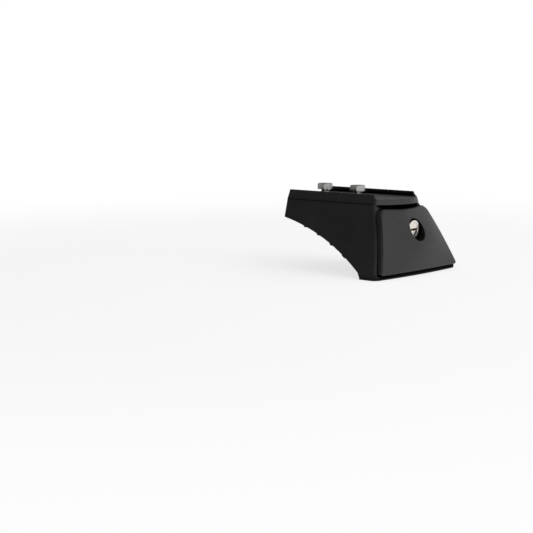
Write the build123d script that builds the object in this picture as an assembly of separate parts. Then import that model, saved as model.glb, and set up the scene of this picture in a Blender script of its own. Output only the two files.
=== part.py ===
from build123d import *
import math
import os

# Roof bar foot: X points outboard, Y across and Z up.
# The origin lies midway between the two base bolt holes, on the underside of the gasket.

# Leg moulding
side_flare = 0.45
seat_height = 47.0
arm_reach = 87.5
arm_end_lean = 2.0
arm_end_height = 35.2
arch_middle_x = -42.0
arch_middle_z = 22.3
arch_foot_x = -8.2
arch_foot_z = 4.2
base_inner = 5.6
wall = 3.5
deck_thickness = 4.2
floor_thickness = 5.0
corner_radius = 3.5
end_edge_radius = 2.0

# Plinth strip of the leg under the cover
plinth_height = 1.8
plinth_corner_reach = 7.8
plinth_middle_reach = 10.3
plinth_corner_radius = 4.0

# Ribs of the underside; the first is the bulkhead that the lock turns behind
bulkhead_thickness = 3.0
rib_thickness = 2.0
bay_room = 0.4
rib_stand = 0.6

# Crowned outboard face: from foot to seat its side edges lean inwards, and its crown swells and dies away
face_edge_foot = 12.0
face_edge_setback = 17.85
face_edge_bow = 1.2
face_crown_foot = 0.3
face_crown_swell = 6.3
face_crown_overrun = 6.6
face_section_count = 5

# End cover
cover_inset_foot = 1.65
cover_inset_seat = 0.8
cover_stand = 4.0
cover_shell = 2.6
cover_top_drop = 2.6
cover_top_radius = 7.5
cover_bottom_radius = 1.5
cover_edge_chamfer = 0.8
cover_gap = 0.4
rim_depth = 3.0
rim_thickness = 1.8
rim_clearance = 0.4
rim_foot = 11.0

# Bar saddle
saddle_inset = 0.6
saddle_flare = 0.35
saddle_deck = 3.5
lip_height = 3.2
lip_thickness = 1.05
lip_end_x = -12.0
lip_end_radius = 3.2
bar_width = 42.6
bar_clearance = 0.1
saddle_corner_radius = 5.0
brow_overhang = 4.0
brow_bow = 11.5
brow_lean = 0.4

# Gasket and base plate
gasket_thickness = 1.0
gasket_inset = 0.2
plate_thickness = 3.0
plate_end_clearance = 2.6
plate_width = 10.4
plate_clearance = 0.3
plate_corner_radius = 2.0
base_bolt_hole = 6.6
base_bolt_spacing = 52.0

# Clamp fasteners, M6
clamp_shank = 6.0
clamp_room = 0.3
clamp_hex_width = 10.0
clamp_hex_crown = 9.5
clamp_head_height = 4.0
slot_lip = 3.0
washer_margin = 0.5
washer_thickness = 1.6
spring_washer_diameter = 10.6
spring_washer_thickness = 1.6
spring_washer_gap = 1.2
nut_height = 5.0
clamp_tail = 2.5

# Lock
lock_drop = 17.05
lock_face_x = 4.75
flange_room = 1.1
mouth_edge_chamfer = 0.4
flange_step = 0.5
flange_thickness = 2.0
barrel_diameter = 11.4
barrel_length = 24.25
barrel_fit = 0.05
barrel_wall = 1.1
barrel_stand = 2.5
boss_wall = 1.65
boss_length = 13.0
plug_fit = 0.04
plug_recess = 0.2
barrel_back = 3.0
tail_diameter = 6.0
drive_width = 4.2
drive_fit = 0.05
keyway_width = 6.8
keyway_height = 1.5
keyway_floor = 4.3
clip_thickness = 1.0
clip_outer = 15.0
clip_groove_depth = 0.4
clip_fit = 0.1
wafer_count = 5
wafer_pitch = 2.4
wafer_first = 5.0
wafer_thickness = 0.9
wafer_width = 5.4
wafer_skin = 0.05
wafer_fit = 0.05

# Lock cam and its fastening
cam_length = 21.0
cam_width = 6.4
cam_thickness = 2.8
cam_gap = 0.6
cam_slot_clearance = 1.2
cam_washer_diameter = 6.4
cam_washer_thickness = 0.6
cam_screw_diameter = 2.5
cam_screw_length = 6.0
cam_screw_head = 5.0
cam_screw_head_height = 2.0
cam_screw_chamfer = 0.5
cam_screw_slot = 0.8

# Levels and places that follow from the sizes above
channel_half = bar_width / 2 + bar_clearance
lip_half = channel_half + lip_thickness
saddle_half = lip_half + saddle_flare * (saddle_deck + lip_height)
base_half_width = saddle_half + saddle_inset + side_flare * seat_height
floor_bottom = gasket_thickness
floor_top = floor_bottom + floor_thickness
ceiling = seat_height - deck_thickness
saddle_top = seat_height + saddle_deck
lip_top = saddle_top + lip_height
plinth_top = floor_bottom + plinth_height
cover_bottom = plinth_top + cover_gap
cover_top = seat_height - cover_top_drop
side_wall = wall * math.hypot(1, side_flare)
far = 2 * (arm_reach + base_half_width)
clamp_hole = clamp_shank + 2 * clamp_room
washer_diameter = clamp_hex_width + 2 * washer_margin
lock_height = seat_height - lock_drop
plug_diameter = barrel_diameter - 2 * barrel_wall
flange_diameter = barrel_diameter + 2 * flange_step
mouth_diameter = flange_diameter + 2 * flange_room
boss_diameter = mouth_diameter + 2 * boss_wall
clip_groove = barrel_diameter - 2 * clip_groove_depth
wafer_slot_half = math.sqrt((plug_diameter / 2 - wafer_skin) ** 2 - (wafer_width / 2 + wafer_fit) ** 2)
wafer_height = 2 * (wafer_slot_half - wafer_fit)
boss_step_x = lock_face_x - flange_thickness
boss_back_x = boss_step_x - boss_length
barrel_back_x = lock_face_x - barrel_length
bulkhead_front_x = barrel_back_x - barrel_stand
bulkhead_x = bulkhead_front_x - bulkhead_thickness / 2
bulkhead_back_x = bulkhead_front_x - bulkhead_thickness
end_wall_x = -arm_reach + arm_end_lean + wall
rib_pitch = washer_diameter + rib_thickness + bay_room
rib_count = int((bulkhead_x - end_wall_x) / rib_pitch) - 1
last_rib_x = bulkhead_x - rib_pitch * rib_count
clamp_xs = (bulkhead_x - 1.5 * rib_pitch, (last_rib_x + end_wall_x) / 2)
cam_front_x = bulkhead_back_x - cam_gap
cam_back_x = cam_front_x - cam_thickness
washer_top = ceiling
spring_top = washer_top - washer_thickness
nut_top = spring_top - spring_washer_thickness
nut_bottom = nut_top - nut_height

MIN_Z = (Align.CENTER, Align.CENTER, Align.MIN)


def half_width(z):
    """Half width of the leg's flared sides at a height."""
    return base_half_width - side_flare * z


def cover_half(z):
    """Half width of the cover at a height."""
    inset = cover_inset_foot + (cover_inset_seat - cover_inset_foot) * z / seat_height
    return half_width(z) - inset


def face_edge(z):
    """Outboard reach of the crowned face at the cover's side edges."""
    rise = z / seat_height
    return face_edge_foot - face_edge_setback * rise + 4 * face_edge_bow * rise * (1 - rise)


def face_crown(z):
    """Height of the crown between the side edges and the mid-plane."""
    return face_crown_foot + face_crown_swell * math.sin(math.pi * z / (seat_height + face_crown_overrun))


def face_middle(z):
    """Outboard reach of the crowned face on the mid-plane."""
    return face_edge(z) + face_crown(z)


def bowed_plan(half, bow, tip):
    """Plan of everything inboard of an arc that bows by an amount over a half width, up to its tip."""
    radius = (half**2 + bow**2) / (2 * bow)
    reach = half + corner_radius
    side = tip - radius + math.sqrt(radius**2 - reach**2)
    outline = ThreePointArc((side, -reach), (tip, 0), (side, reach))
    outline += Polyline((side, reach), (-far / 2, reach), (-far / 2, -reach), (side, -reach))
    return make_face(outline)


def crowned_section(z, setback):
    """Plan section of everything inboard of the crowned face, set back along X."""
    return Pos(0, 0, z) * bowed_plan(cover_half(z), face_crown(z), face_middle(z) - setback)


def crowned_form(setback):
    """Solid inboard of the crowned face, from the base plane to the lip's top."""
    steps = face_section_count - 1
    heights = [lip_top * step / steps for step in range(face_section_count)]
    return loft([crowned_section(z, setback) for z in heights])


def cross_prism(points, *rounded):
    """Prism along X of an outline given on its +Y side as (half width, height) corners."""
    mirrored = [(-y, z) for y, z in reversed(points)]
    outline = Plane.YZ * make_face(Polyline(*points, *mirrored, close=True))
    for height, radius in rounded:
        corners = [v for v in outline.vertices() if abs(v.Z - height) < 1e-6]
        outline = fillet(corners, radius)
    return extrude(outline, amount=far / 2, both=True)


def flared_prism(inset, bottom, top):
    """Prism along X between the leg's flared sides, moved inwards by the inset."""
    return cross_prism([(half_width(bottom) - inset, bottom), (half_width(top) - inset, top)])


def side_profile(drop, end_x, outer_x, bottom, top):
    """Side outline over the arch, with the arch lowered by the drop, as a prism along Y."""
    start = (end_x + arm_end_lean, arm_end_height - drop)
    middle = (arch_middle_x, arch_middle_z - drop)
    foot = (arch_foot_x, arch_foot_z - drop)
    outline = ThreePointArc(start, middle, foot)
    outline += Polyline(foot, (-base_inner, bottom), (outer_x, bottom), (outer_x, top), (end_x, top), start)
    return extrude(Plane.XZ * make_face(outline), amount=far / 2, both=True)


def slab(x, thickness):
    """Slab across the whole leg, square to X."""
    return Pos(x, 0, seat_height / 2) * Box(thickness, far, far)


def rod(x_front, x_back, diameter):
    """Round rod on the lock's axis, from a front to a back place along X."""
    middle = Pos((x_front + x_back) / 2, 0, lock_height)
    return middle * Rot(0, 90, 0) * Cylinder(diameter / 2, x_front - x_back)


def bar_on_axis(x_front, x_back, width, height):
    """Block on the lock's axis, from a front to a back place along X."""
    return Pos((x_front + x_back) / 2, 0, lock_height) * Box(x_front - x_back, width, height)


def upright(x, y, bottom, top, diameter):
    """Round upright pin or hole tool between two heights."""
    return Pos(x, y, (bottom + top) / 2) * Cylinder(diameter / 2, top - bottom)


def hexagon(x, bottom, height, width):
    """Upright hexagon prism on the mid-plane with its flats square to Y."""
    outline = RegularPolygon(width / 2, 6, major_radius=False)
    return Pos(x, 0, bottom) * extrude(outline, amount=height)


def base_holes(bottom, top):
    """Tools for the two base bolt holes."""
    places = (-base_bolt_spacing / 2, base_bolt_spacing / 2)
    return [upright(0, y, bottom, top, base_bolt_hole) for y in places]


def clamp_holes(bottom, top):
    """Tools for the clamp bolt holes."""
    return [upright(x, 0, bottom, top, clamp_hole) for x in clamp_xs]


def plinth():
    """Bowed strip of the leg's foot that shows under the cover."""
    reach = half_width(floor_bottom)
    left = (plinth_corner_reach, -reach)
    right = (plinth_corner_reach, reach)
    outline = ThreePointArc(left, (plinth_middle_reach, 0), right)
    outline += Polyline(right, (0, reach), (0, -reach), left)
    face = make_face(outline)
    corners = face.vertices().filter_by(lambda v: v.X > plinth_corner_reach / 2)
    face = fillet(corners, plinth_corner_radius)
    strip = Pos(0, 0, floor_bottom) * extrude(face, amount=plinth_height)
    return strip & flared_prism(0, floor_bottom, plinth_top)


def arm_ribs():
    """Cross ribs of the underside, which stand a little below the arch."""
    rib_xs = [bulkhead_x - rib_pitch * (index + 1) for index in range(rib_count)]
    slabs = slab(bulkhead_x, bulkhead_thickness) + [slab(x, rib_thickness) for x in rib_xs]
    within = side_profile(rib_stand, -arm_reach, 0, floor_bottom, seat_height)
    return slabs & within & flared_prism(0, floor_bottom, seat_height)


def pillar_cavity():
    """Space behind the cover, open outboard, that ends at the bulkhead."""
    skin = wall / math.cos(math.atan2(arch_middle_z - arch_foot_z, arch_foot_x - arch_middle_x))
    space = side_profile(-skin, -arm_reach, far / 2, floor_top, ceiling)
    space &= flared_prism(side_wall, floor_top, ceiling)
    return space & Pos(bulkhead_front_x + far / 2, 0, seat_height / 2) * Box(far, far, far)


def arm_core():
    """Space of the underside from the bulkhead to the inner end wall, open downwards."""
    middle = (bulkhead_x + end_wall_x) / 2
    return flared_prism(side_wall, floor_bottom - far / 8, ceiling) & slab(middle, bulkhead_x - end_wall_x)


def outboard_uprights(solid, least_height):
    """Upright edges of a solid's two outboard corners."""
    sides = solid.edges().filter_by(lambda e: abs(e.center().Y) > wall)
    uprights = sides.filter_by(lambda e: e.bounding_box().size.Z > least_height)
    return uprights.group_by(Axis.X)[-1]


def leg_body():
    """Moulded leg: flared shell with a ribbed arch, a bulkhead and an open outboard end."""
    body = side_profile(0, -arm_reach, far / 2, floor_bottom, seat_height)
    body &= flared_prism(0, floor_bottom, seat_height)
    body &= crowned_form(cover_stand)
    body = fillet(outboard_uprights(body, floor_top), corner_radius)
    inner_end = body.faces().sort_by(Axis.X)[0]
    body = fillet(inner_end.edges().sort_by(Axis.Z)[:-1], end_edge_radius)
    body += plinth()
    body -= pillar_cavity()
    body -= arm_core()
    body += arm_ribs()
    slot_width = cam_width + 2 * cam_slot_clearance
    slot_length = cam_length + 2 * cam_slot_clearance
    slot = Pos(bulkhead_x, 0, lock_height) * Box(2 * bulkhead_thickness, slot_length, slot_width)
    body -= slot
    body -= base_holes(floor_bottom, floor_top)
    body -= clamp_holes(ceiling, seat_height)
    return body


def brow_form():
    """Solid inboard of the saddle's bowed, leaning brow."""
    plan = bowed_plan(saddle_half, brow_bow, face_middle(seat_height) + brow_overhang)
    return extrude(Pos(0, 0, seat_height) * plan, amount=far / 4, dir=(-brow_lean, 0, 1))


def bar_saddle():
    """Moulded saddle with two side lips and a bowed brow."""
    inner = -arm_reach + saddle_inset
    outline = Polyline(
        (lip_end_x + lip_end_radius, saddle_top),
        (far / 2, saddle_top),
        (far / 2, seat_height),
        (inner, seat_height),
        (inner + saddle_inset, lip_top),
        (lip_end_x, lip_top),
    )
    lip_end = RadiusArc((lip_end_x, lip_top), (lip_end_x + lip_end_radius, saddle_top), -lip_end_radius)
    side_form = extrude(Plane.XZ * make_face(outline + lip_end), amount=far / 2, both=True)
    saddle = cross_prism([(saddle_half, seat_height), (lip_half, lip_top)]) & brow_form()
    saddle = fillet(outboard_uprights(saddle, wall), saddle_corner_radius)
    saddle &= side_form
    saddle -= Pos(0, 0, saddle_top + far / 4) * Box(far, 2 * channel_half, far / 2)
    saddle -= clamp_holes(seat_height, saddle_top)
    return saddle


def cover_prism(inset):
    """Prism of the cover's outline as seen from outboard, moved inwards by the inset."""
    low = cover_bottom + inset
    high = cover_top - inset
    corners = [(cover_half(low) - inset, low), (cover_half(high) - inset, high)]
    rounds = [(high, cover_top_radius - inset)]
    if inset < cover_bottom_radius:
        rounds.append((low, cover_bottom_radius - inset))
    return cross_prism(corners, *rounds)


def locating_rim():
    """Rim behind the cover that enters the leg's opening at its sides and top."""
    outer = flared_prism(side_wall + rim_clearance, rim_foot, ceiling - rim_clearance)
    inner_inset = side_wall + rim_clearance + rim_thickness
    inner = flared_prism(inner_inset, rim_foot - rim_thickness, ceiling - rim_clearance - rim_thickness)
    depth = crowned_form(cover_shell / 2) - crowned_form(cover_stand + rim_depth)
    return (outer - inner) & depth


def end_cover():
    """Crowned shell over the leg's open end, with the boss that carries the lock."""
    block = crowned_form(0) & cover_prism(0)
    front = block.faces().sort_by(Axis.X)[-1]
    block = chamfer(front.edges(), cover_edge_chamfer)
    shell = block - crowned_form(cover_stand - cover_gap)
    shell -= crowned_form(cover_shell) & cover_prism(cover_shell)
    shell += locating_rim()
    boss = rod(far / 2, boss_back_x, boss_diameter)
    shell += boss & crowned_form(cover_shell / 2)
    shell -= rod(far / 2, boss_step_x, mouth_diameter)
    mouth_axis = Axis((0, 0, lock_height), (1, 0, 0))
    mouth = shell.faces().filter_by(GeomType.CYLINDER).filter_by(
        lambda f: abs(f.radius - mouth_diameter / 2) < 1e-6 and f.axis_of_rotation.is_coaxial(mouth_axis)
    )
    rims = mouth.edges().filter_by(lambda e: e.is_closed)
    shell = chamfer(rims.sort_by(Axis.X)[-1], mouth_edge_chamfer)
    shell -= rod(boss_step_x, boss_back_x, barrel_diameter + 2 * barrel_fit)
    return shell


def base_gasket():
    """Rubber gasket under the leg's foot."""
    reach = half_width(0) - gasket_inset
    outer = plinth_corner_reach - gasket_inset
    arc = ThreePointArc((outer, -reach), (plinth_middle_reach - gasket_inset, 0), (outer, reach))
    inner = -base_inner + gasket_inset
    face = make_face(arc + Polyline((outer, reach), (inner, reach), (inner, -reach), (outer, -reach)))
    face = fillet(face.vertices().filter_by(lambda v: v.X > 0), plinth_corner_radius)
    return extrude(face, amount=gasket_thickness) - base_holes(0, gasket_thickness)


def base_plate():
    """Steel plate on the leg's floor under the base bolts."""
    middle_x = -base_inner + plate_clearance + plate_width / 2
    half_length = half_width(floor_top + plate_thickness) - side_wall - plate_end_clearance
    plate = Pos(middle_x, 0, floor_top) * Box(plate_width, 2 * half_length, plate_thickness, align=MIN_Z)
    plate = fillet(plate.edges().filter_by(Axis.Z), plate_corner_radius)
    return plate - base_holes(floor_top, floor_top + plate_thickness)


def clamp_bolt(x):
    """Hex bolt whose head stands over the saddle by the thickness that it clamps."""
    head_bottom = saddle_top + slot_lip
    head = hexagon(x, head_bottom, clamp_head_height, clamp_hex_width)
    cone = Cone(clamp_hex_width, clamp_hex_crown / 2, clamp_head_height, align=MIN_Z)
    head &= Pos(x, 0, head_bottom) * cone
    return head + upright(x, 0, nut_bottom - clamp_tail, head_bottom, clamp_shank)


def clamp_washer(x):
    """Flat washer under the leg's deck."""
    ring = upright(x, 0, spring_top, washer_top, washer_diameter)
    return ring - upright(x, 0, spring_top, washer_top, clamp_hole)


def clamp_spring_washer(x):
    """Split spring washer between the flat washer and the nut."""
    ring = upright(x, 0, nut_top, spring_top, spring_washer_diameter)
    ring -= upright(x, 0, nut_top, spring_top, clamp_hole)
    gap = Pos(x, spring_washer_diameter / 2, (nut_top + spring_top) / 2)
    return ring - gap * Rot(0, 30, 0) * Box(spring_washer_gap, spring_washer_diameter, far)


def clamp_nut(x):
    """Hex nut on the clamp bolt."""
    nut = Pos(x, 0, 0) * Rot(0, 0, 90) * hexagon(0, nut_bottom, nut_height, clamp_hex_width)
    return nut - upright(x, 0, nut_bottom, nut_top, clamp_shank)


def lock_housing():
    """Flanged barrel of the lock, with a groove for its clip."""
    housing = rod(lock_face_x, boss_step_x, flange_diameter)
    housing += rod(boss_step_x, barrel_back_x, barrel_diameter)
    groove = rod(boss_back_x, boss_back_x - clip_thickness - clip_fit, far / 4)
    groove -= rod(boss_back_x, boss_back_x - clip_thickness - clip_fit, clip_groove)
    housing -= groove
    housing -= rod(lock_face_x, barrel_back_x + barrel_back, plug_diameter + 2 * plug_fit)
    return housing - rod(barrel_back_x + barrel_back, barrel_back_x, tail_diameter + 2 * plug_fit)


def wafer_places():
    """Front faces of the wafers along X."""
    return [lock_face_x - wafer_first - wafer_pitch * index for index in range(wafer_count)]


def lock_plug():
    """Turning core of the lock, with its keyway, wafer slots, round tail and square drive."""
    front = lock_face_x - plug_recess
    shoulder = barrel_back_x + barrel_back
    plug = rod(front, shoulder, plug_diameter) + rod(shoulder, cam_front_x, tail_diameter)
    plug += bar_on_axis(cam_front_x, cam_back_x, drive_width, drive_width)
    plug -= bar_on_axis(front, shoulder + keyway_floor, keyway_width, keyway_height)
    for x in wafer_places():
        slot_back = x - wafer_thickness - 2 * wafer_fit
        plug -= bar_on_axis(x, slot_back, wafer_width + 2 * wafer_fit, wafer_height + 2 * wafer_fit)
    return plug - rod(cam_back_x + cam_screw_length, cam_back_x, cam_screw_diameter)


def lock_wafer(x):
    """Wafer of the lock, inside its slot of the plug, with its key window."""
    front = x - wafer_fit
    wafer = bar_on_axis(front, front - wafer_thickness, wafer_width, wafer_height)
    window = keyway_height + wafer_thickness
    return wafer - bar_on_axis(front, front - wafer_thickness, wafer_width / 2, window)


def lock_clip():
    """U-shaped spring clip in the barrel's groove, behind the cover's boss."""
    front = boss_back_x - clip_fit / 2
    clip = rod(front, front - clip_thickness, clip_outer)
    throat = clip_groove + 2 * clip_fit
    clip -= rod(front, front - clip_thickness, throat)
    mouth = Pos(front - clip_thickness / 2, 0, lock_height - clip_outer / 2)
    return clip - mouth * Box(2 * clip_thickness, throat, clip_outer)


def lock_cam():
    """Double-ended cam on the plug's square drive."""
    cam = bar_on_axis(cam_front_x, cam_back_x, cam_length, cam_width)
    cam = fillet(cam.edges().filter_by(Axis.X), cam_width / 2.2)
    hole = drive_width + 2 * drive_fit
    return cam - bar_on_axis(cam_front_x, cam_back_x, hole, hole)


def cam_washer():
    """Washer between the cam and its screw."""
    back = cam_back_x - cam_washer_thickness
    return rod(cam_back_x, back, cam_washer_diameter) - rod(cam_back_x, back, cam_screw_diameter)


def cam_screw():
    """Slotted pan-head screw that holds the cam."""
    head_front = cam_back_x - cam_washer_thickness
    head_back = head_front - cam_screw_head_height
    head = rod(head_front, head_back, cam_screw_head)
    head = chamfer(head.faces().sort_by(Axis.X)[0].edges(), cam_screw_chamfer)
    head -= bar_on_axis(head_back + cam_screw_head_height / 2, head_back, cam_screw_slot, cam_screw_head)
    return head + rod(cam_back_x + cam_screw_length, head_front, cam_screw_diameter)


def group(make, places):
    """Separate copies of one piece, kept in one node."""
    return Compound([make(place).solid() for place in places])


pieces = {
    "leg_body": leg_body(),
    "bar_saddle": bar_saddle(),
    "end_cover": end_cover(),
    "base_gasket": base_gasket(),
    "base_plate": base_plate(),
    "clamp_bolts": group(clamp_bolt, clamp_xs),
    "clamp_washers": group(clamp_washer, clamp_xs),
    "clamp_spring_washers": group(clamp_spring_washer, clamp_xs),
    "clamp_nuts": group(clamp_nut, clamp_xs),
    "lock_housing": lock_housing(),
    "lock_plug": lock_plug(),
    "lock_wafers": group(lock_wafer, wafer_places()),
    "lock_clip": lock_clip(),
    "lock_cam": lock_cam(),
    "cam_washer": cam_washer(),
    "cam_screw": cam_screw(),
}

os.makedirs("parts", exist_ok=True)
for name, piece in pieces.items():
    export_step(piece, f"parts/{name}.step")
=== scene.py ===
"""Looks of a roof bar foot: moulded, rubber and metal finishes, cut bolt threads, studio and camera."""

import logging
import math
from dataclasses import dataclass
from enum import Enum
from typing import Any, Callable, Mapping, Optional, Protocol, Union

import bmesh
import bpy
from mathutils import Euler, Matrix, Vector


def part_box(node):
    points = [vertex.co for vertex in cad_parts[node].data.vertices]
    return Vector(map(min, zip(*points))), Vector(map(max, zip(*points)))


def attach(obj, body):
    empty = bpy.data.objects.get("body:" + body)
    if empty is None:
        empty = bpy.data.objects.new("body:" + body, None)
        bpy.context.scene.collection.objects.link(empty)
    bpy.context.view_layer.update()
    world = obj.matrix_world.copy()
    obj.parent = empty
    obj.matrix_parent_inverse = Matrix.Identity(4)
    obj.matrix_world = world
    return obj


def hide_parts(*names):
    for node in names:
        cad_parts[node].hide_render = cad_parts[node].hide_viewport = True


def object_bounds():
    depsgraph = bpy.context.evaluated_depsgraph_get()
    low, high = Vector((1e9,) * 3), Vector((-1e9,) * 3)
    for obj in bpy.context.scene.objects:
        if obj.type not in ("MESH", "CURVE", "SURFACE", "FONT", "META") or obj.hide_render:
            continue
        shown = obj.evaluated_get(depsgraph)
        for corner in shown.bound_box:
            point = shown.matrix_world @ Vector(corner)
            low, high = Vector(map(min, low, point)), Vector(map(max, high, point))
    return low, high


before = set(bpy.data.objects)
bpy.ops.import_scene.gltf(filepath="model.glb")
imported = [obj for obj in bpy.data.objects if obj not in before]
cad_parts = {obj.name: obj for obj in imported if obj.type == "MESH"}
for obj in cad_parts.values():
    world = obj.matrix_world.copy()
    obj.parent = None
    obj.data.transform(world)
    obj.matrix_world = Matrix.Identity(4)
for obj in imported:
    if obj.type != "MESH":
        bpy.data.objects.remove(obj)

MM = 0.001
CAD_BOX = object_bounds()
LOG = logging.getLogger("roof_bar_foot")

# The average of a noise, and the rays that look for edges and crevices.
NOISE_MIDDLE = 0.5
EDGE_SAMPLES = 6
CREVICE_SAMPLES = 8

BLACK = (0.0, 0.0, 0.0)
WHITE = (1.0, 1.0, 1.0)

Key = Union[str, int]
Colour = tuple[float, float, float]
Point = tuple[float, float, float]


class Marks(Enum):
    """Marks that the making leaves on a metal surface."""

    TURNED = "turned"
    ROLLED = "rolled"
    TUMBLED = "tumbled"


class Wire:
    """Output socket of a node, which takes part in sums."""

    def __init__(self, board: "Board", socket: bpy.types.NodeSocket) -> None:
        """Keeps the socket and the board that its node stands on."""
        self.board = board
        self.socket = socket

    def also(self, output: Key) -> "Wire":
        """Another output of the same node."""
        return Wire(self.board, self.socket.node.outputs[output])

    def _sum(self, operation: str, left: "Term", right: "Term") -> "Wire":
        """Adds a Math node to the board.

        Args:
            operation: The Math node's operation.
            left: First number or wire.
            right: Second number or wire.

        Returns:
            The wire of the result.
        """
        return self.board.add("ShaderNodeMath", {"operation": operation}, {0: left, 1: right})

    def __add__(self, other: "Term") -> "Wire":
        """Sum of this wire and a term."""
        return self._sum("ADD", self, other)

    def __radd__(self, other: "Term") -> "Wire":
        """Sum of a term and this wire."""
        return self._sum("ADD", other, self)

    def __sub__(self, other: "Term") -> "Wire":
        """This wire less a term."""
        return self._sum("SUBTRACT", self, other)

    def __rsub__(self, other: "Term") -> "Wire":
        """A term less this wire."""
        return self._sum("SUBTRACT", other, self)

    def __mul__(self, other: "Term") -> "Wire":
        """Product of this wire and a term."""
        return self._sum("MULTIPLY", self, other)

    def __rmul__(self, other: "Term") -> "Wire":
        """Product of a term and this wire."""
        return self._sum("MULTIPLY", other, self)


Term = Union[float, Wire]
Paint = Union[Colour, Wire]


class Board:
    """A node tree, with one method that adds any node."""

    # Sockets of a Mix node that mixes colours.
    MIX_SHARE = 0
    MIX_FIRST = 6
    MIX_SECOND = 7
    MIX_RESULT = 2

    def __init__(self, tree: bpy.types.NodeTree) -> None:
        """Starts on an empty tree."""
        self.tree = tree
        self.tree.nodes.clear()

    def add(
        self,
        kind: str,
        settings: Optional[Mapping[str, Any]] = None,
        sockets: Optional[Mapping[Key, Any]] = None,
        output: Key = 0,
    ) -> Wire:
        """Adds a node.

        Args:
            kind: The node's type.
            settings: The node's own properties, set before its sockets.
            sockets: A value, or one or more wires, for each input socket.
            output: The output socket that is handed back.

        Returns:
            The wire of that output, or of the first input where the node has no output.
        """
        node = self.tree.nodes.new(kind)
        for name, value in (settings or {}).items():
            setattr(node, name, value)
        for key, value in (sockets or {}).items():
            wires = value if isinstance(value, list) else [value]
            for item in wires:
                if isinstance(item, Wire):
                    self.tree.links.new(item.socket, node.inputs[key])
                else:
                    node.inputs[key].default_value = item
        return Wire(self, node.outputs[output] if node.outputs else node.inputs[0])

    def noise(self, place: Wire, size: float, detail: float = 2.0) -> Wire:
        """Adds noise of a given grain size.

        Args:
            place: The coordinates that it reads.
            size: Width of one grain.
            detail: Number of finer layers.

        Returns:
            Values from 0 to 1, about 0.5 on average.
        """
        sockets = {"Vector": place, "Scale": 1 / size, "Detail": detail}
        return self.add("ShaderNodeTexNoise", {}, sockets, "Fac")

    def blend(self, share: Term, first: Paint, second: Paint) -> Wire:
        """Mixes two colours.

        Args:
            share: 0 for the first colour, 1 for the second.
            first: The first colour or its wire.
            second: The second colour or its wire.

        Returns:
            The wire of the mixed colour.
        """
        ends = [end if isinstance(end, Wire) else (*end, 1.0) for end in (first, second)]
        sockets = {self.MIX_SHARE: share, self.MIX_FIRST: ends[0], self.MIX_SECOND: ends[1]}
        return self.add("ShaderNodeMix", {"data_type": "RGBA"}, sockets, self.MIX_RESULT)

    def axis_distance(self, place: Wire, centre: Point) -> Wire:
        """Measures how far a place is from an axis along X.

        Args:
            place: The place on the piece.
            centre: A point on the axis.

        Returns:
            The distance in metres.
        """
        offset = self.add("ShaderNodeVectorMath", {"operation": "SUBTRACT"}, {0: place, 1: centre})
        section = {0: offset, 1: (0.0, 1.0, 1.0)}
        across = self.add("ShaderNodeVectorMath", {"operation": "MULTIPLY"}, section)
        return self.add("ShaderNodeVectorMath", {"operation": "LENGTH"}, {0: across}, "Value")

    def relief(self, height: Wire, depth: float, edge: float) -> Wire:
        """Rounds the edges that light sees and raises a texture on the surface.

        Args:
            height: The texture's height, from 0 to 1.
            depth: Depth of the texture.
            edge: Radius of the broken edges.

        Returns:
            The wire of the surface normal.
        """
        rounded = self.add("ShaderNodeBevel", {"samples": EDGE_SAMPLES}, {"Radius": edge}, "Normal")
        raised = {"Strength": 1.0, "Distance": depth, "Height": height, "Normal": rounded}
        return self.add("ShaderNodeBump", {}, raised)


class Finish(Protocol):
    """A surface finish that gives a material."""

    def material(self) -> bpy.types.Material:
        """The finish's material."""


class Assembly(Protocol):
    """A group of pieces that is built in one go."""

    def build(self) -> list[bpy.types.Object]:
        """The group's pieces, in their finishes."""


def material_board(name: str) -> tuple[bpy.types.Material, Board]:
    """Starts a material.

    Args:
        name: The material's name.

    Returns:
        The material and the board of its nodes.
    """
    material = bpy.data.materials.new(name)
    material.use_nodes = True
    return material, Board(material.node_tree)


def object_place(board: Board) -> Wire:
    """The place on the piece, in metres."""
    return board.add("ShaderNodeTexCoord", output="Object")


def close_surface(board: Board, sockets: Mapping[Key, Any]) -> None:
    """Ends a material in a surface shader.

    Args:
        board: The material's board.
        sockets: Values or wires of the shader's sockets.
    """
    shader = board.add("ShaderNodeBsdfPrincipled", {}, sockets)
    board.add("ShaderNodeOutputMaterial", {}, {"Surface": shader})


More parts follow.
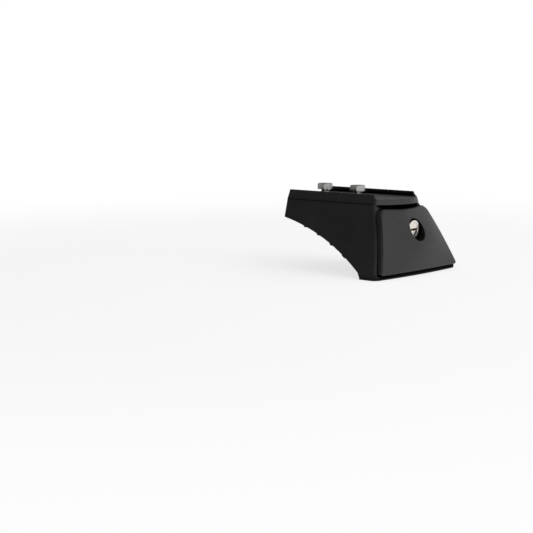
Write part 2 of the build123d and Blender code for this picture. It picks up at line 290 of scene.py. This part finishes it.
@dataclass(frozen=True)
class MouldedPlastic:
    """Black plastic with the fine texture of a spark-eroded mould, with painted shade in its crevices
    and bore.

    Attributes:
        name: The material's name.
        dark: Darkest tone.
        light: Lightest tone.
        roughness: Middle roughness.
        specular: Strength of the mirror image.
        grain: Width of the mould's grain.
        grain_depth: Depth of the grain.
        grain_share: The grain's share of the change in tone.
        grain_gloss: How much the grain's high spots are polished.
        flow: Width of the clouds that the melt leaves.
        flow_gloss: How much the clouds change the roughness.
        scuff: Width of the scuffs.
        scuff_gloss: How much the scuffs change the roughness.
        edge: Radius of the broken edges.
        bore_centre: A point on the axis of a deep bore, if there is one.
        bore_radius: Radius within which the bore's walls lie.
        bore_edge: Width over which its painted shade fades.
        bore_painted_shade: How much painted shade, with full roughness, the bore's walls get.
        crevice: How far away a wall may be and still shut in a place.
        crevice_shut: Open share of the view at and below which a place gets full painted shade.
        crevice_open: Open share of the view from which a place gets no painted shade.
        painted_shade_tone: Tone of the painted shade in the crevices and the bore.
    """

    name: str
    dark: Colour
    light: Colour
    roughness: float = 0.42
    specular: float = 0.42
    grain: float = 0.6 * MM
    grain_depth: float = 0.12 * MM
    grain_share: float = 0.5
    grain_gloss: float = 0.2
    flow: float = 14 * MM
    flow_gloss: float = 0.16
    scuff: float = 3 * MM
    scuff_gloss: float = 0.14
    edge: float = 0.35 * MM
    bore_centre: Optional[Point] = None
    bore_radius: float = 7.3 * MM
    bore_edge: float = 0.2 * MM
    bore_painted_shade: float = 0.85
    crevice: float = 4 * MM
    crevice_shut: float = 0.7
    crevice_open: float = 0.99
    painted_shade_tone: Colour = (0.002, 0.002, 0.002)

    def bore(self, board: Board, place: Wire, centre: Point) -> Wire:
        """Finds the walls of a deep bore along X.

        Args:
            board: The material's board.
            place: The place on the piece.
            centre: A point on the bore's axis.

        Returns:
            1 inside the bore and 0 elsewhere.
        """
        distance = board.axis_distance(place, centre)
        rim = self.bore_radius + self.bore_edge
        reach = {"Value": distance, "From Min": self.bore_radius, "From Max": rim}
        return 1 - board.add("ShaderNodeMapRange", {}, reach)

    def painted_shade(self, board: Board, place: Wire) -> Wire:
        """Finds where shade is painted: in crevices, found by ambient occlusion, and in the bore.

        Args:
            board: The material's board.
            place: The place on the piece.

        Returns:
            0 on open surfaces, up to 1 where shade is painted.
        """
        # Ambient occlusion finds the crevices where shade falls, and those crevices get painted shade.
        nearby = {"Distance": self.crevice}
        free = board.add("ShaderNodeAmbientOcclusion", {"samples": CREVICE_SAMPLES}, nearby, "AO")
        reach = {"Value": free, "From Min": self.crevice_shut, "From Max": self.crevice_open}
        crevice_shade = 1 - board.add("ShaderNodeMapRange", {}, reach)
        if self.bore_centre is None:
            return crevice_shade
        # The walls of the bore get painted shade as well.
        bore = self.bore(board, place, self.bore_centre) * self.bore_painted_shade
        return board.add("ShaderNodeMath", {"operation": "MAXIMUM"}, {0: crevice_shade, 1: bore})

    def material(self) -> bpy.types.Material:
        """Builds the material.

        Returns:
            The material, with grain, cloudy flow marks, slightly polished high spots and painted shade
            in its crevices.
        """
        material, board = material_board(self.name)
        place = object_place(board)
        grain = board.noise(place, self.grain, detail=3.0)
        flow = board.noise(place, self.flow, detail=3.0)
        scuffs = board.noise(place, self.scuff, detail=6.0)
        tone = flow * (1 - self.grain_share) + grain * self.grain_share
        gloss = self.roughness + (flow - NOISE_MIDDLE) * self.flow_gloss
        gloss = gloss + (scuffs - NOISE_MIDDLE) * self.scuff_gloss
        gloss = gloss - (grain - NOISE_MIDDLE) * self.grain_gloss
        skin = {
            "Base Color": board.blend(tone, self.dark, self.light),
            "Roughness": gloss,
            "Specular IOR Level": self.specular,
            "Normal": board.relief(grain, self.grain_depth, self.edge),
        }
        # A near-black, rough layer with no reflection: painted shade, mixed in by the mask.
        painted_shade_layer = {"Base Color": (*self.painted_shade_tone, 1.0), "Roughness": 1.0, "Specular IOR Level": 0.0}
        layers = {
            0: self.painted_shade(board, place),
            1: board.add("ShaderNodeBsdfPrincipled", {}, skin),
            2: board.add("ShaderNodeBsdfPrincipled", {}, painted_shade_layer),
        }
        surface = board.add("ShaderNodeMixShader", {}, layers)
        board.add("ShaderNodeOutputMaterial", {}, {"Surface": surface})
        return material


@dataclass(frozen=True)
class SoftRubber:
    """Matt black rubber with a bloom of mould dust.

    Attributes:
        name: The material's name.
        dark: Darkest tone.
        light: Lightest tone.
        roughness: Middle roughness.
        specular: Strength of the mirror image.
        grain: Width of the grain.
        grain_depth: Depth of the grain.
        bloom: Width of the dusty clouds.
        bloom_share: The clouds' share of the change in tone.
        bloom_gloss: How much the clouds change the roughness.
        edge: Radius of the broken edges.
    """

    name: str
    dark: Colour = (0.012, 0.012, 0.012)
    light: Colour = (0.026, 0.026, 0.027)
    roughness: float = 0.78
    specular: float = 0.25
    grain: float = 0.2 * MM
    grain_depth: float = 0.02 * MM
    bloom: float = 7 * MM
    bloom_share: float = 0.6
    bloom_gloss: float = 0.25
    edge: float = 0.2 * MM

    def material(self) -> bpy.types.Material:
        """Builds the material.

        Returns:
            The material, with a dusty grain.
        """
        material, board = material_board(self.name)
        place = object_place(board)
        grain = board.noise(place, self.grain, detail=4.0)
        bloom = board.noise(place, self.bloom, detail=4.0)
        tone = bloom * self.bloom_share + grain * (1 - self.bloom_share)
        close_surface(
            board,
            {
                "Base Color": board.blend(tone, self.dark, self.light),
                "Roughness": self.roughness + (bloom - NOISE_MIDDLE) * self.bloom_gloss,
                "Specular IOR Level": self.specular,
                "Normal": board.relief(grain, self.grain_depth, self.edge),
            },
        )
        return material


@dataclass(frozen=True)
class PlatedMetal:
    """Plated or bare metal with the marks of its making.

    Attributes:
        name: The material's name.
        dark: Darkest tone.
        light: Lightest tone.
        roughness: Middle roughness.
        marks: Kind of marks.
        mark_pitch: Distance from mark to mark.
        mark_depth: Depth of the marks.
        mark_gloss: How much the marks change the roughness.
        roll_stretch: Thinning of the pattern along Y that draws it out into rolled streaks.
        turn_wander: Width over which turned rings stray.
        cloud: Width of the plating's clouds.
        cloud_share: The clouds' share of the change in tone.
        cloud_gloss: How much the clouds change the roughness.
        centre: A point on the axis of turned marks.
        edge: Radius of the broken edges.
    """

    name: str
    dark: Colour
    light: Colour
    roughness: float
    marks: Marks
    mark_pitch: float = 0.5 * MM
    mark_depth: float = 0.001 * MM
    mark_gloss: float = 0.08
    roll_stretch: float = 0.06
    turn_wander: float = 6 * MM
    cloud: float = 2.5 * MM
    cloud_share: float = 0.7
    cloud_gloss: float = 0.2
    centre: Point = (0.0, 0.0, 0.0)
    edge: float = 0.15 * MM

    def pattern(self, board: Board, place: Wire) -> Wire:
        """Draws the marks of the making.

        Args:
            board: The material's board.
            place: The place on the piece.

        Returns:
            The marks' height, from 0 to 1.
        """
        if self.marks is Marks.TUMBLED:
            return board.noise(place, self.mark_pitch, detail=4.0)
        if self.marks is Marks.ROLLED:
            along = {0: place, 1: (1.0, self.roll_stretch, 1.0)}
            stretched = board.add("ShaderNodeVectorMath", {"operation": "MULTIPLY"}, along)
            return board.noise(stretched, self.mark_pitch, detail=3.0)
        radius = board.axis_distance(place, self.centre)
        wander = board.noise(place, self.turn_wander) * self.mark_pitch
        phase = (radius + wander) * (math.tau / self.mark_pitch)
        wave = board.add("ShaderNodeMath", {"operation": "SINE"}, {0: phase})
        return wave * 0.5 + 0.5

    def material(self) -> bpy.types.Material:
        """Builds the material.

        Returns:
            The material, with cloudy plating over the marks.
        """
        material, board = material_board(self.name)
        place = object_place(board)
        marks = self.pattern(board, place)
        cloud = board.noise(place, self.cloud, detail=5.0)
        tone = cloud * self.cloud_share + marks * (1 - self.cloud_share)
        gloss = self.roughness + (cloud - NOISE_MIDDLE) * self.cloud_gloss
        gloss = gloss + (marks - NOISE_MIDDLE) * self.mark_gloss
        close_surface(
            board,
            {
                "Base Color": board.blend(tone, self.dark, self.light),
                "Metallic": 1.0,
                "Roughness": gloss,
                "Normal": board.relief(marks, self.mark_depth, self.edge),
            },
        )
        return material


def dress(node: str, material: bpy.types.Material) -> bpy.types.Object:
    """Gives a CAD node its finish.

    Args:
        node: The node's name.
        material: The finish.

    Returns:
        The node's object.
    """
    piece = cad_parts[node]
    for slot in piece.material_slots:
        slot.link = "OBJECT"
        slot.material = material
    if not piece.material_slots:
        piece.data.materials.append(material)
    return piece


@dataclass
class Leg:
    """Leg moulding, saddle moulding, base gasket and base plate."""

    leg_finish: Finish
    saddle_finish: Finish
    gasket_finish: Finish
    plate_finish: Finish

    def build(self) -> list[bpy.types.Object]:
        """Dresses the leg's pieces and hands them back."""
        return [
            dress("leg_body", self.leg_finish.material()),
            dress("bar_saddle", self.saddle_finish.material()),
            dress("base_gasket", self.gasket_finish.material()),
            dress("base_plate", self.plate_finish.material()),
        ]


@dataclass
class ClampSet:
    """Two hex bolts with cut threads, and their washers and nuts.

    Attributes:
        bolt_finish: Finish of the bolts.
        washer_finish: Finish of the plain and spring washers.
        nut_finish: Finish of the nuts.
        body: The body that the bolts ride on.
        head_width: Width of a head from flat to flat.
        head_height: Height of a head.
        crown_width: Diameter of a head's turned top.
        crown_slope: Slope of the turned cut at a head's corners.
        edge_break: Size of the broken edge round the top.
        crest_radius: Radius of a thread's crests.
        pitch: Pitch of the threads.
        flat_steps: Points along each of a head's six flats.
        turn_steps: Points on each turn of a thread.
    """

    bolt_finish: Finish
    washer_finish: Finish
    nut_finish: Finish
    body: str = "leg"
    head_width: float = 10 * MM
    head_height: float = 4 * MM
    crown_width: float = 9.5 * MM
    crown_slope: float = math.radians(30)
    edge_break: float = 0.06 * MM
    crest_radius: float = 3 * MM
    pitch: float = 1 * MM
    flat_steps: int = 8
    turn_steps: int = 28

    def bolt_places(self) -> tuple[Vector, Vector]:
        """Points at the ends of both bolts' shanks, on their axes, for heads with corners along X."""
        low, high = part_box("clamp_bolts")
        corner = self.head_width / math.sqrt(3)
        return Vector((low.x + corner, 0, low.z)), Vector((high.x - corner, 0, low.z))

    def head_outline(self, angle: float) -> float:
        """Distance from a hex head's axis to its outline.

        Args:
            angle: Direction from the axis.

        Returns:
            The distance in that direction.
        """
        from_flat = angle % (math.pi / 3) - math.pi / 6
        return self.head_width / 2 / math.cos(from_flat)

    def add_head(self, mesh: bmesh.types.BMesh, foot: Vector) -> None:
        """Adds a hex head with a turned crown.

        Args:
            mesh: The mesh that it is added to.
            foot: Middle of the head's underside.
        """
        top = foot.z + self.head_height
        centre = Vector((foot.x, foot.y, 0))
        steps = 6 * self.flat_steps
        rings: list[list[bmesh.types.BMVert]] = [[], [], []]
        for step in range(steps):
            angle = math.tau * step / steps
            way = Vector((math.cos(angle), math.sin(angle), 0))
            reach = self.head_outline(angle)
            flat = min(reach, self.crown_width / 2)
            shoulder = top - (reach - flat) * math.tan(self.crown_slope) - self.edge_break
            rim = flat - self.edge_break
            rings[0].append(mesh.verts.new(centre + way * reach + Vector((0, 0, foot.z))))
            rings[1].append(mesh.verts.new(centre + way * reach + Vector((0, 0, shoulder))))
            rings[2].append(mesh.verts.new(centre + way * rim + Vector((0, 0, top))))
        for below, above in zip(rings, rings[1:]):
            for step, vertex in enumerate(below):
                mesh.faces.new((below[step - 1], vertex, above[step], above[step - 1]))
        mesh.faces.new(list(reversed(rings[0])))
        mesh.faces.new(rings[2])

    def shank(self, board: Board, size: Callable[[str], Wire]) -> Wire:
        """Draws one threaded shank that stands on the origin: a plain core with a helical ridge.

        Args:
            board: The node tree's board.
            size: Gives the wire of a size by its name.

        Returns:
            The wire of the shank.
        """
        half_pitch = size("Pitch") * 0.5
        root = size("Crest") - half_pitch
        helix = board.add(
            "GeometryNodeCurveSpiral",
            {},
            {
                "Resolution": size("Steps"),
                "Rotations": size("Turns"),
                "Start Radius": root,
                "End Radius": root,
                "Height": size("Length") - size("Pitch"),
            },
        )
        upright = board.add("GeometryNodeSetCurveNormal", {"mode": "Z_UP"}, {"Curve": helix})
        section = {"Resolution": 4, "Radius": half_pitch}
        profile = board.add("GeometryNodeCurvePrimitiveCircle", {}, section)
        sweep = {"Curve": upright, "Profile Curve": profile, "Fill Caps": True}
        ridge = board.add("GeometryNodeCurveToMesh", {}, sweep)
        lift = board.add("ShaderNodeCombineXYZ", {}, {"Z": half_pitch})
        thread = board.add("GeometryNodeTransform", {}, {"Geometry": ridge, "Translation": lift})
        round_bar = {"Vertices": size("Steps"), "Radius": root, "Depth": size("Length")}
        core = board.add("GeometryNodeMeshCylinder", {}, round_bar)
        middle = board.add("ShaderNodeCombineXYZ", {}, {"Z": size("Length") * 0.5})
        stem = board.add("GeometryNodeTransform", {}, {"Geometry": core, "Translation": middle})
        return board.add("GeometryNodeJoinGeometry", {}, {"Geometry": [stem, thread]})

    def thread_tree(self) -> bpy.types.NodeTree:
        """Builds the node tree that puts a threaded shank under each head.

        Returns:
            The tree, with an input for each size.
        """
        tree = bpy.data.node_groups.new("bolt_threads", "GeometryNodeTree")
        board = Board(tree)
        tree.interface.new_socket("Heads", in_out="INPUT", socket_type="NodeSocketGeometry")
        for name, kind in (
            ("First Bolt", "NodeSocketVector"),
            ("Second Bolt", "NodeSocketVector"),
            ("Length", "NodeSocketFloat"),
            ("Pitch", "NodeSocketFloat"),
            ("Turns", "NodeSocketFloat"),
            ("Crest", "NodeSocketFloat"),
            ("Steps", "NodeSocketInt"),
            ("Finish", "NodeSocketMaterial"),
        ):
            tree.interface.new_socket(name, in_out="INPUT", socket_type=kind)
        tree.interface.new_socket("Bolts", in_out="OUTPUT", socket_type="NodeSocketGeometry")

        def size(name: str) -> Wire:
            """Wire of one of the tree's inputs."""
            return board.add("NodeGroupInput", output=name)

        shank = self.shank(board, size)
        ends = {0: size("Second Bolt"), 1: size("First Bolt")}
        gap = board.add("ShaderNodeVectorMath", {"operation": "SUBTRACT"}, ends)
        line = {"Count": 2, "Start Location": size("First Bolt"), "Offset": gap}
        axes = board.add("GeometryNodeMeshLine", {}, line)
        shanks = board.add("GeometryNodeInstanceOnPoints", {}, {"Points": axes, "Instance": shank})
        whole = board.add("GeometryNodeJoinGeometry", {}, {"Geometry": [shanks, size("Heads")]})
        plain = board.add("GeometryNodeRealizeInstances", {}, {"Geometry": whole})
        done = board.add("GeometryNodeSetMaterial", {}, {"Geometry": plain, "Material": size("Finish")})
        board.add("NodeGroupOutput", {}, {"Bolts": done})
        return tree

    def heads(self, axes: tuple[Vector, Vector], underside: float) -> bpy.types.Mesh:
        """Makes both hex heads.

        Args:
            axes: A point on each bolt's axis.
            underside: Height of the heads' undersides.

        Returns:
            The mesh of the heads.
        """
        shape = bmesh.new()
        for axis in axes:
            self.add_head(shape, Vector((axis.x, axis.y, underside)))
        bmesh.ops.recalc_face_normals(shape, faces=shape.faces)
        mesh = bpy.data.meshes.new("threaded_bolts")
        shape.to_mesh(mesh)
        shape.free()
        return mesh

    def cut_shanks(self, piece: bpy.types.Object, axes: tuple[Vector, Vector], length: float) -> None:
        """Puts a threaded shank under each head and makes the whole a plain mesh.

        Args:
            piece: The heads.
            axes: The lower end of each shank.
            length: Length of the shanks.
        """
        tree = self.thread_tree()
        modifier = piece.modifiers.new("threads", "NODES")
        modifier.node_group = tree
        values = {
            "First Bolt": axes[0],
            "Second Bolt": axes[1],
            "Length": length,
            "Pitch": self.pitch,
            "Turns": length / self.pitch - 1,
            "Crest": self.crest_radius,
            "Steps": self.turn_steps,
            "Finish": self.bolt_finish.material(),
        }
        for item in tree.interface.items_tree:
            if item.name in values:
                modifier[item.identifier] = values[item.name]
        made = piece.evaluated_get(bpy.context.evaluated_depsgraph_get())
        piece.data = bpy.data.meshes.new_from_object(made)
        piece.modifiers.clear()

    def bolts(self) -> bpy.types.Object:
        """Makes both bolts as one piece, in the place of their node.

        Returns:
            The piece.
        """
        axes = self.bolt_places()
        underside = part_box("clamp_bolts")[1].z - self.head_height
        piece = bpy.data.objects.new("threaded_bolts", self.heads(axes, underside))
        bpy.context.scene.collection.objects.link(piece)
        self.cut_shanks(piece, axes, underside - axes[0].z)
        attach(piece, self.body)
        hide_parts("clamp_bolts")
        return piece

    def build(self) -> list[bpy.types.Object]:
        """Makes the bolts, dresses the washers and nuts, and hands them back."""
        washer = self.washer_finish.material()
        return [
            self.bolts(),
            dress("clamp_washers", washer),
            dress("clamp_spring_washers", washer),
            dress("clamp_nuts", self.nut_finish.material()),
        ]


@dataclass
class Cover:
    """Crowned end cover."""

    finish: Finish

    def build(self) -> list[bpy.types.Object]:
        """Dresses the cover and hands it back."""
        return [dress("end_cover", self.finish.material())]


@dataclass
class KeyLock:
    """Lock in the cover: housing, plug, wafers, clip, and the cam with its washer and screw."""

    housing_finish: Finish
    plug_finish: Finish
    wafer_finish: Finish
    clip_finish: Finish
    cam_finish: Finish

    def build(self) -> list[bpy.types.Object]:
        """Dresses the lock's pieces and hands them back."""
        cam = self.cam_finish.material()
        return [
            dress("lock_housing", self.housing_finish.material()),
            dress("lock_plug", self.plug_finish.material()),
            dress("lock_wafers", self.wafer_finish.material()),
            dress("lock_clip", self.clip_finish.material()),
            dress("lock_cam", cam),
            dress("cam_washer", cam),
            dress("cam_screw", cam),
        ]


@dataclass(frozen=True)
class Lamp:
    """A soft square lamp that points at the object.

    Attributes:
        name: The lamp's name.
        place: Its middle.
        size: Length of its sides.
        power: Power in watts.
    """

    name: str
    place: Point
    size: float
    power: float

    def build(self, target: Vector) -> None:
        """Puts up the lamp.

        Args:
            target: The point that it lights.
        """
        data = bpy.data.lights.new(self.name, "AREA")
        data.size = self.size
        data.energy = self.power
        lamp = bpy.data.objects.new(self.name, data)
        lamp.location = self.place
        lamp.rotation_euler = (target - Vector(self.place)).to_track_quat("-Z", "Y").to_euler()
        bpy.context.scene.collection.objects.link(lamp)


@dataclass(frozen=True)
class Card:
    """A soft-edged white card around the object, which shows in mirror images only.

    Attributes:
        way: Direction of its middle. Its length scales the two limits.
        edge: Dot product with the way at which the card begins.
        middle: Dot product from which it shines in full.
        glow: Its full brightness.
    """

    way: Point
    edge: float
    middle: float
    glow: float

    def shine(self, board: Board, way: Wire) -> Wire:
        """Shows how bright the card is in a direction.

        Args:
            board: The world's board.
            way: The direction.

        Returns:
            The wire of the brightness.
        """
        sides = {0: way, 1: self.way}
        depth = board.add("ShaderNodeVectorMath", {"operation": "DOT_PRODUCT"}, sides, "Value")
        reach = {"Value": depth, "From Min": self.edge, "From Max": self.middle, "To Max": self.glow}
        return board.add("ShaderNodeMapRange", {"interpolation_type": "SMOOTHSTEP"}, reach)


@dataclass
class Studio:
    """Pale floor, soft lamps, white surroundings, mirrored cards and the camera.

    Attributes:
        lamps: The lamps.
        cards: The cards.
        floor_half: Half the floor's width.
        floor_tone: Tone of the floor near the object.
        floor_roughness: The floor's roughness.
        floor_glow: Light of the floor's own near the object.
        floor_near: Distance at which the floor begins to fade to white.
        floor_far: Distance from which it is white.
        ambient: Brightness of the surroundings as a light.
        front_glow: Brightness between the cards in mirror images.
        camera_place: The camera's place.
        camera_heading: Turn of the camera about Z.
        camera_dip: Angle by which the camera looks down.
        camera_lens: Focal length in millimetres.
        camera_clip: Distance at which the camera begins to see.
    """

    lamps: tuple[Lamp, ...]
    cards: tuple[Card, ...]
    floor_half: float = 4.0
    floor_tone: Colour = (0.4, 0.4, 0.4)
    floor_roughness: float = 0.9
    floor_glow: float = 0.72
    floor_near: float = 0.25
    floor_far: float = 0.7
    ambient: float = 0.24
    front_glow: float = 0.1
    camera_place: Point = (487.21 * MM, -678.2 * MM, 119.59 * MM)
    camera_heading: float = math.radians(42.274)
    camera_dip: float = math.radians(7.906)
    camera_lens: float = 83.413
    camera_clip: float = 10 * MM

    def rays(self, board: Board) -> tuple[Wire, Wire]:
        """Tells rays apart by what they show of the surroundings.

        Args:
            board: The board of the material or world.

        Returns:
            Whether a ray shows them directly, and whether it shows them as a mirror image.
        """
        camera = board.add("ShaderNodeLightPath", output="Is Camera Ray")
        return camera + camera.also("Is Transmission Ray"), camera.also("Is Glossy Ray")

    def floor_material(self) -> bpy.types.Material:
        """Builds the floor's material.

        Returns:
            The material, which fades to white away from the object and is clear from below.
        """
        material, board = material_board("pale_floor")
        place = object_place(board)
        away = board.add("ShaderNodeVectorMath", {"operation": "LENGTH"}, {0: place}, "Value")
        fade = board.add(
            "ShaderNodeMapRange",
            {"interpolation_type": "SMOOTHSTEP"},
            {"Value": away, "From Min": self.floor_near, "From Max": self.floor_far},
        )
        direct, mirrored = self.rays(board)
        lit = (direct + mirrored) * (self.floor_glow + fade * (1 - self.floor_glow))
        upper = board.add(
            "ShaderNodeBsdfPrincipled",
            {},
            {
                "Base Color": board.blend(fade, self.floor_tone, BLACK),
                "Roughness": self.floor_roughness,
                "Specular IOR Level": 0.0,
                "Emission Color": board.blend(lit, BLACK, WHITE),
                "Emission Strength": 1.0,
            },
        )
        below = board.add("ShaderNodeNewGeometry", output="Backfacing")
        clear = board.add("ShaderNodeBsdfTransparent")
        surface = board.add("ShaderNodeMixShader", {}, {0: below, 1: upper, 2: clear})
        board.add("ShaderNodeOutputMaterial", {}, {"Surface": surface})
        return material

    def floor(self) -> None:
        """Lays a pale floor under the object."""
        shape = bmesh.new()
        bmesh.ops.create_grid(shape, x_segments=1, y_segments=1, size=self.floor_half)
        mesh = bpy.data.meshes.new("floor")
        shape.to_mesh(mesh)
        shape.free()
        mesh.materials.append(self.floor_material())
        floor = bpy.data.objects.new("floor", mesh)
        bpy.context.scene.collection.objects.link(floor)

    def surroundings(self) -> None:
        """Makes the world white to the eye, dimmer as a light, and dark between the cards in mirrors."""
        world = bpy.data.worlds.new("white_room")
        world.use_nodes = True
        board = Board(world.node_tree)
        way = board.add("ShaderNodeTexCoord", output="Generated")
        direct, mirrored = self.rays(board)
        shine = sum((card.shine(board, way) for card in self.cards), self.front_glow)
        strength = direct + mirrored * shine + (1 - direct - mirrored) * self.ambient
        glow = board.add("ShaderNodeBackground", {}, {"Color": (*WHITE, 1.0), "Strength": strength})
        board.add("ShaderNodeOutputWorld", {}, {"Surface": glow})
        bpy.context.scene.world = world

    def camera(self) -> None:
        """Sets up the camera."""
        data = bpy.data.cameras.new("camera")
        data.lens = self.camera_lens
        data.clip_start = self.camera_clip
        camera = bpy.data.objects.new("camera", data)
        camera.location = self.camera_place
        camera.rotation_euler = Euler((math.pi / 2 - self.camera_dip, 0, self.camera_heading))
        bpy.context.scene.collection.objects.link(camera)
        bpy.context.scene.camera = camera

    def build(self) -> None:
        """Puts up the whole studio."""
        low, high = CAD_BOX
        self.floor()
        self.surroundings()
        self.camera()
        for lamp in self.lamps:
            lamp.build((low + high) / 2)
        bpy.context.scene.view_settings.view_transform = "Standard"


def foot_assemblies() -> list[Assembly]:
    """Chooses the finish of each piece of the foot.

    Returns:
        The sub-assemblies, in the order in which they are built.
    """
    low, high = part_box("lock_housing")
    lock_axis = (0.0, 0.0, (low.z + high.z) / 2)
    mould_dark = (0.0125, 0.0122, 0.0119)
    zinc = {"dark": (0.34, 0.345, 0.35), "light": (0.56, 0.56, 0.55)}
    nickel = {"dark": (0.68, 0.645, 0.6), "light": (0.88, 0.845, 0.79)}
    turned = {"marks": Marks.TURNED, "centre": lock_axis}
    leg = Leg(
        leg_finish=MouldedPlastic("leg_plastic", mould_dark, (0.0335, 0.0327, 0.032)),
        saddle_finish=MouldedPlastic("saddle_plastic", mould_dark, (0.0325, 0.0318, 0.0311)),
        gasket_finish=SoftRubber("gasket_rubber"),
        plate_finish=PlatedMetal("zinc_plate", roughness=0.38, marks=Marks.ROLLED, **zinc),
    )
    clamps = ClampSet(
        bolt_finish=PlatedMetal(
            "stainless_bolt",
            dark=(0.32, 0.32, 0.315),
            light=(0.5, 0.5, 0.49),
            roughness=0.34,
            marks=Marks.TUMBLED,
        ),
        washer_finish=PlatedMetal("zinc_washer", roughness=0.34, marks=Marks.TUMBLED, **zinc),
        nut_finish=PlatedMetal(
            "zinc_nut",
            dark=zinc["dark"],
            light=(0.54, 0.54, 0.53),
            roughness=0.36,
            marks=Marks.TUMBLED,
        ),
    )
    cover = Cover(
        finish=MouldedPlastic(
            "cover_plastic",
            dark=(0.009, 0.0089, 0.0087),
            light=(0.0275, 0.0271, 0.0267),
            # The walls of the cover's lock bore get painted shade.
            bore_centre=lock_axis,
        )
    )
    lock = KeyLock(
        housing_finish=PlatedMetal("nickel_housing", roughness=0.24, **turned, **nickel),
        plug_finish=PlatedMetal("nickel_plug", roughness=0.2, **turned, **nickel),
        # Dull brass, darkened below its own tone as painted shade for the keyway that the wafers sit in.
        wafer_finish=PlatedMetal(
            "wafer_brass",
            dark=(0.24, 0.175, 0.08),
            light=(0.4, 0.3, 0.145),
            roughness=0.5,
            marks=Marks.TUMBLED,
        ),
        clip_finish=PlatedMetal(
            "spring_steel",
            dark=(0.1, 0.1, 0.105),
            light=(0.22, 0.22, 0.225),
            roughness=0.35,
            marks=Marks.ROLLED,
        ),
        cam_finish=PlatedMetal(
            "zinc_cam",
            roughness=0.36,
            marks=Marks.TUMBLED,
            mark_pitch=0.4 * MM,
            **zinc,
        ),
    )
    return [leg, clamps, cover, lock]


def main() -> None:
    """Builds and dresses the sub-assemblies in order, then the studio."""
    logging.basicConfig(level=logging.INFO, format="%(name)s: %(message)s")
    for assembly in foot_assemblies():
        for piece in assembly.build():
            LOG.info("%s: %s, %d faces", type(assembly).__name__, piece.name, len(piece.data.polygons))
    studio = Studio(
        lamps=(
            Lamp("key", place=(1.3, 0.2, 0.85), size=1.5, power=9.5),
            Lamp("back", place=(0.1, 1.1, 1.2), size=1.4, power=5.0),
            Lamp("side", place=(0.95, -0.68, 0.24), size=0.4, power=2.0),
        ),
        cards=(
            Card(way=(0.2, 0.6, -1.6), edge=-0.6, middle=0.9, glow=0.9),
            Card(way=(0.74, -0.66, 0.0), edge=0.72, middle=0.96, glow=1.3),
        ),
    )
    studio.build()


if __name__ == "__main__":
    main()
